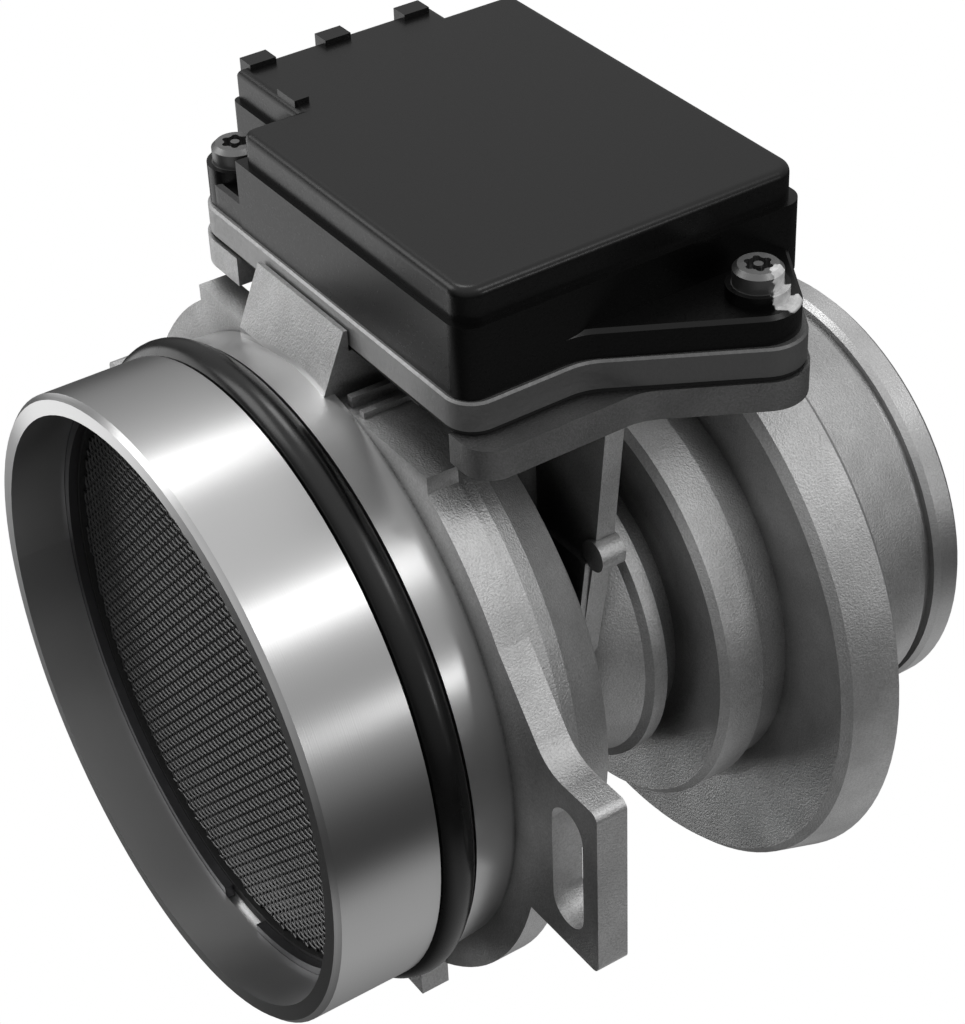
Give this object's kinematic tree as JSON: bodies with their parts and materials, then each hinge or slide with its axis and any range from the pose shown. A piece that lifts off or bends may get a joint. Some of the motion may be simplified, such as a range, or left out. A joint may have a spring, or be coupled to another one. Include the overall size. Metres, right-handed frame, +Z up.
{
  "type": "mass airflow sensor",
  "caption": "Hot-wire mass airflow sensor: cast aluminium meter body with meshed inlet, mounting flange, venturi and bypass drums, and a black electronics module bolted on top.",
  "frame": {"origin": "centre of the inlet mouth, on the inlet spigot's axis", "axes": "+X along the air flow, from inlet to outlet; +Z up, towards the electronics module; +Y towards the connector"},
  "size_m": [0.113, 0.124, 0.1302],
  "materials": {
    "body_aluminium": "sand cast, inlet spigot and outlet lip turned bright",
    "seal_rubber": "smooth moulded nitrile",
    "frame_plastic": "moulded",
    "screen_steel": "woven stainless wire",
    "spring_steel": "oiled spring steel",
    "gasket_rubber": "flat sheet",
    "plate_aluminium": "die cast, edges tumbled",
    "housing_plastic": "fine moulded texture",
    "lid_plastic": "fine moulded texture",
    "sleeve_steel": "plain",
    "screw_steel": "dark zinc",
    "board_laminate": "solder mask",
    "chip_plastic": "moulded epoxy",
    "capacitor_body": "fired ceramic",
    "terminal_brass": "tin plated",
    "probe_plastic": "moulded",
    "post_steel": "drawn",
    "wire_metal": "drawn bright",
    "bead_glass": "sealed bead"
  },
  "bodies": {
    "root": {"meter_body": "body_aluminium", "inlet_seal_ring": "seal_rubber", "screen_frame": "frame_plastic", "screen_mesh": "screen_steel", "screen_retaining_ring": "spring_steel", "module_gasket": "gasket_rubber", "module_base_plate": "plate_aluminium", "module_housing": "housing_plastic", "module_lid": "lid_plastic", "ear_sleeve": "sleeve_steel", "corner_sleeve": "sleeve_steel", "module_screw_ear": "screw_steel", "module_screw_corner": "screw_steel", "circuit_board": "board_laminate", "control_chip": "chip_plastic", "output_chip": "chip_plastic", "power_transistor": "chip_plastic", "chip_capacitors": "capacitor_body", "terminal_1": "terminal_brass", "terminal_2": "terminal_brass", "terminal_3": "terminal_brass", "terminal_4": "terminal_brass", "terminal_5": "terminal_brass", "probe_holder": "probe_plastic", "probe_seal": "seal_rubber", "probe_posts": "post_steel", "hot_wire": "wire_metal", "air_temperature_bead": "bead_glass"}
  },
  "joints": []
}
